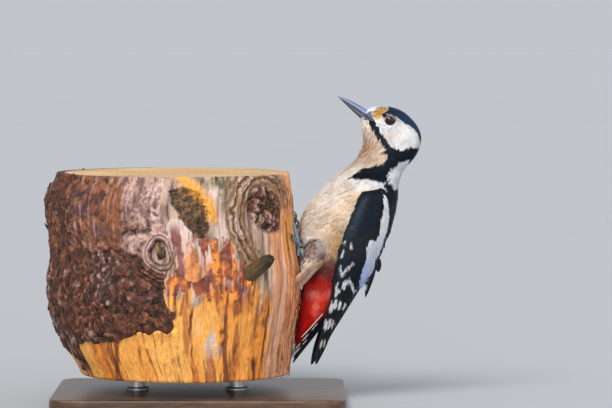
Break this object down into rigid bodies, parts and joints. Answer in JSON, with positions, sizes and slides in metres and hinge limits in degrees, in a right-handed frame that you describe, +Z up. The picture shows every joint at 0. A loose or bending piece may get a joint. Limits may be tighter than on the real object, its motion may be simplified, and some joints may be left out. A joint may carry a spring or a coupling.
{
  "type": "great spotted woodpecker on a log display stand",
  "caption": "Life-size female great spotted woodpecker clinging to a cut length of dead pine trunk, on a flat base with rods.",
  "frame": {"origin": "on the floor, under the middle of the whole piece", "axes": "+Z up, +X from the log towards the bird's back, the bird's left side towards -Y"},
  "size_m": [0.2677, 0.1818, 0.2199],
  "materials": {
    "crown": "glossy blue-black feathers with a white cheek",
    "throat": "soft buff feathers",
    "belly": "soft cream feathers",
    "vent": "soft scarlet feathers",
    "black_feather": "glossy black feathers with a white shoulder patch",
    "barred_feather": "stiff black feathers with white bars",
    "horn": "slate-grey horn, satin",
    "eye": "wet dark red-brown",
    "scaled_skin": "blue-grey scaled skin",
    "claw": "dark horn, satin",
    "bare_wood": "weathered bare pine with dark streaks",
    "bark": "rough flaking bark",
    "stand_base": "dark stained wood, satin",
    "stand_rod": "brushed"
  },
  "bodies": {
    "root": {"bill_lower": "horn", "bill_upper": "horn", "claw_left_1": "claw", "claw_left_2": "claw", "claw_left_3": "claw", "claw_left_4": "claw", "claw_right_1": "claw", "claw_right_2": "claw", "claw_right_3": "claw", "claw_right_4": "claw", "eye_left": "eye", "eye_right": "eye", "foot_left": "scaled_skin", "foot_right": "scaled_skin", "head": "crown", "neck": "throat", "perch_bark": "bark", "perch_splinter": "bare_wood", "perch_stub": "bare_wood", "perch_wood": "bare_wood", "shank_left": "scaled_skin", "shank_right": "scaled_skin", "stand_base": "stand_base", "stand_rod_1": "stand_rod", "stand_rod_2": "stand_rod", "tail_left_1": "barred_feather", "tail_left_2": "barred_feather", "tail_left_3": "barred_feather", "tail_left_4": "barred_feather", "tail_left_5": "barred_feather", "tail_right_1": "barred_feather", "tail_right_2": "barred_feather", "tail_right_3": "barred_feather", "tail_right_4": "barred_feather", "tail_right_5": "barred_feather", "thigh_left": "belly", "thigh_right": "belly", "trunk": "belly", "vent": "vent", "wing_left_coverts": "black_feather", "wing_left_primaries": "barred_feather", "wing_left_secondaries": "barred_feather", "wing_right_coverts": "black_feather", "wing_right_primaries": "barred_feather", "wing_right_secondaries": "barred_feather", "wing_right_tertial_long": "black_feather", "wing_right_tertial_short": "black_feather"}
  },
  "joints": []
}
